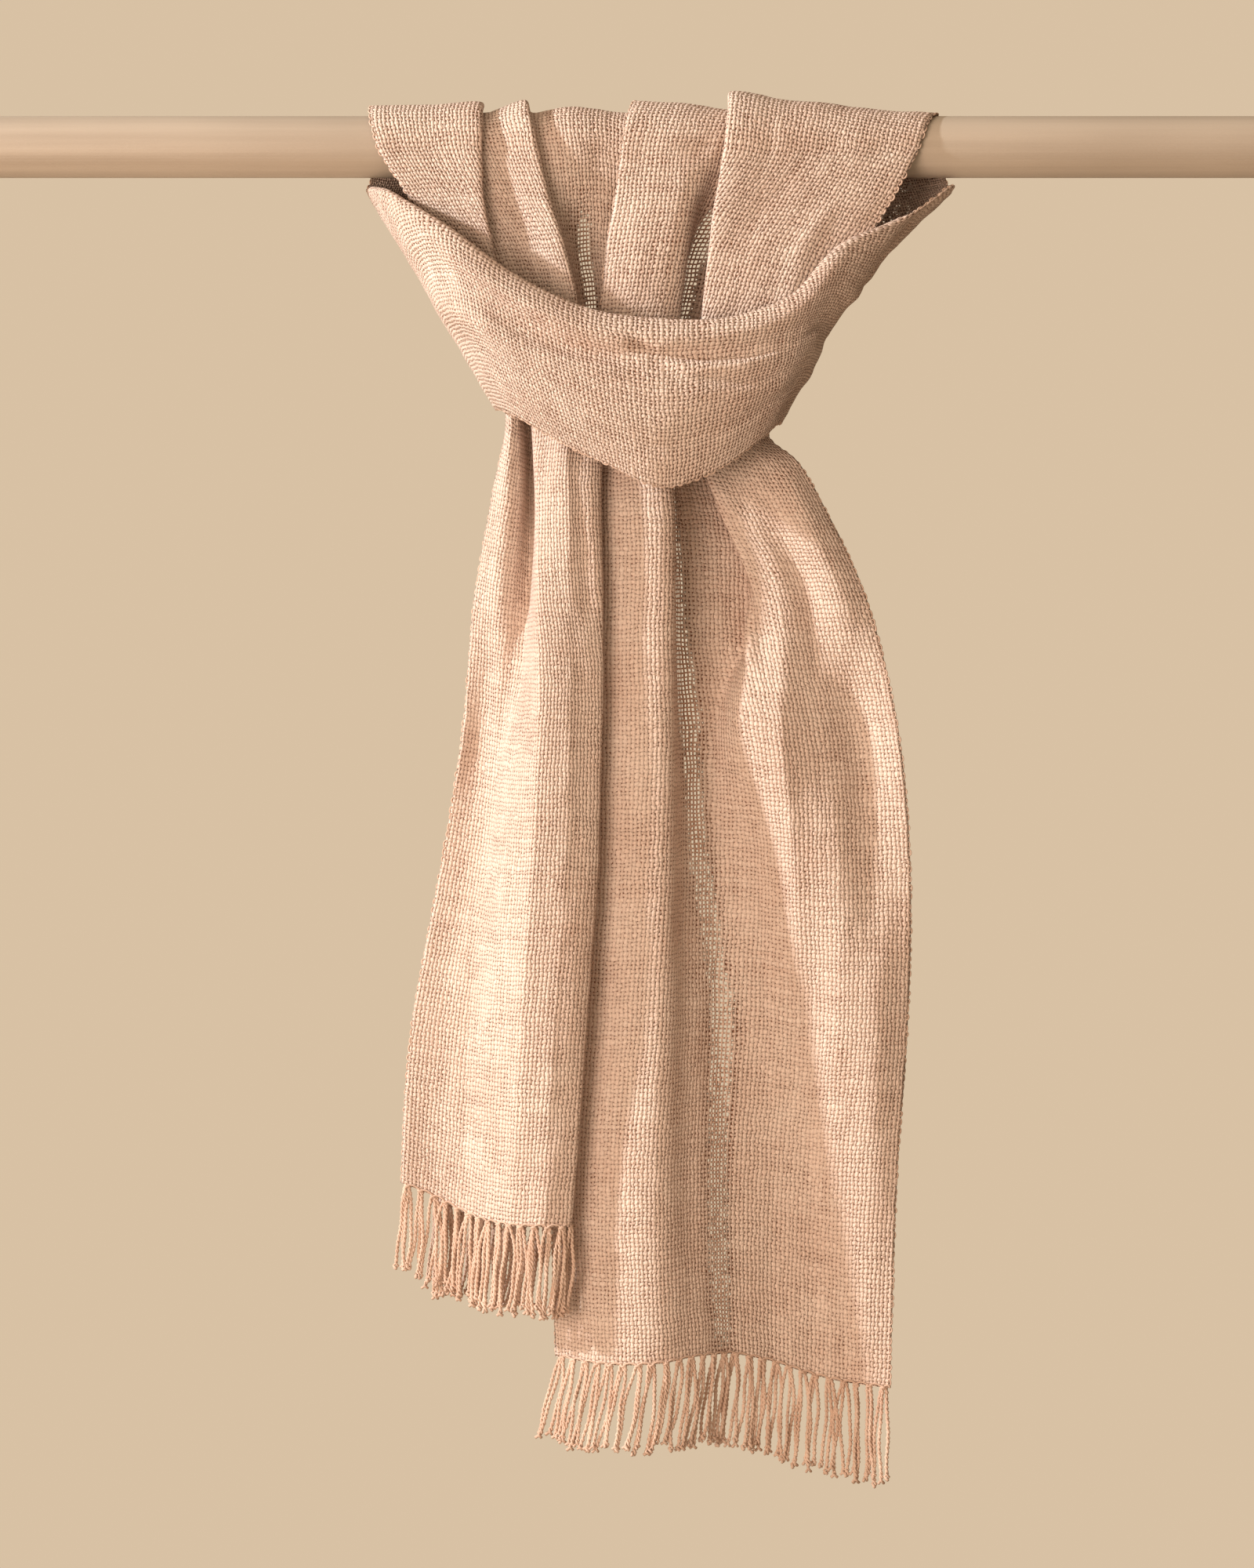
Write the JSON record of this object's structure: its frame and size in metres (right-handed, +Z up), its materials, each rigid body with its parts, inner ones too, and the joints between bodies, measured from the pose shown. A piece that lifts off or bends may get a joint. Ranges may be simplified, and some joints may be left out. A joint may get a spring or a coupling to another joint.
{
  "type": "cotton scarf on a rod",
  "caption": "Loosely woven cotton scarf with fringed, hem-stitched ends, folded in half and hitched round a plain round rod.",
  "frame": {"origin": "the middle of the rod, on its axis, where the rod is held", "axes": "+Z up, +X along the rod to the viewer's right, -Y towards the viewer of the picture"},
  "size_m": [0.78, 0.0952, 0.7901],
  "materials": {
    "cotton": "matt, slubby plain weave",
    "cotton_fringe": "matt two-ply strands",
    "painted_wood": "smooth, painted or limed beige"
  },
  "bodies": {
    "root": {"rod": "painted_wood", "left_tail": "cotton", "left_fall": "cotton", "left_back": "cotton", "left_fringe": "cotton_fringe", "right_tail": "cotton", "right_fall": "cotton", "right_back": "cotton", "right_fringe": "cotton_fringe", "swag": "cotton"}
  },
  "joints": []
}
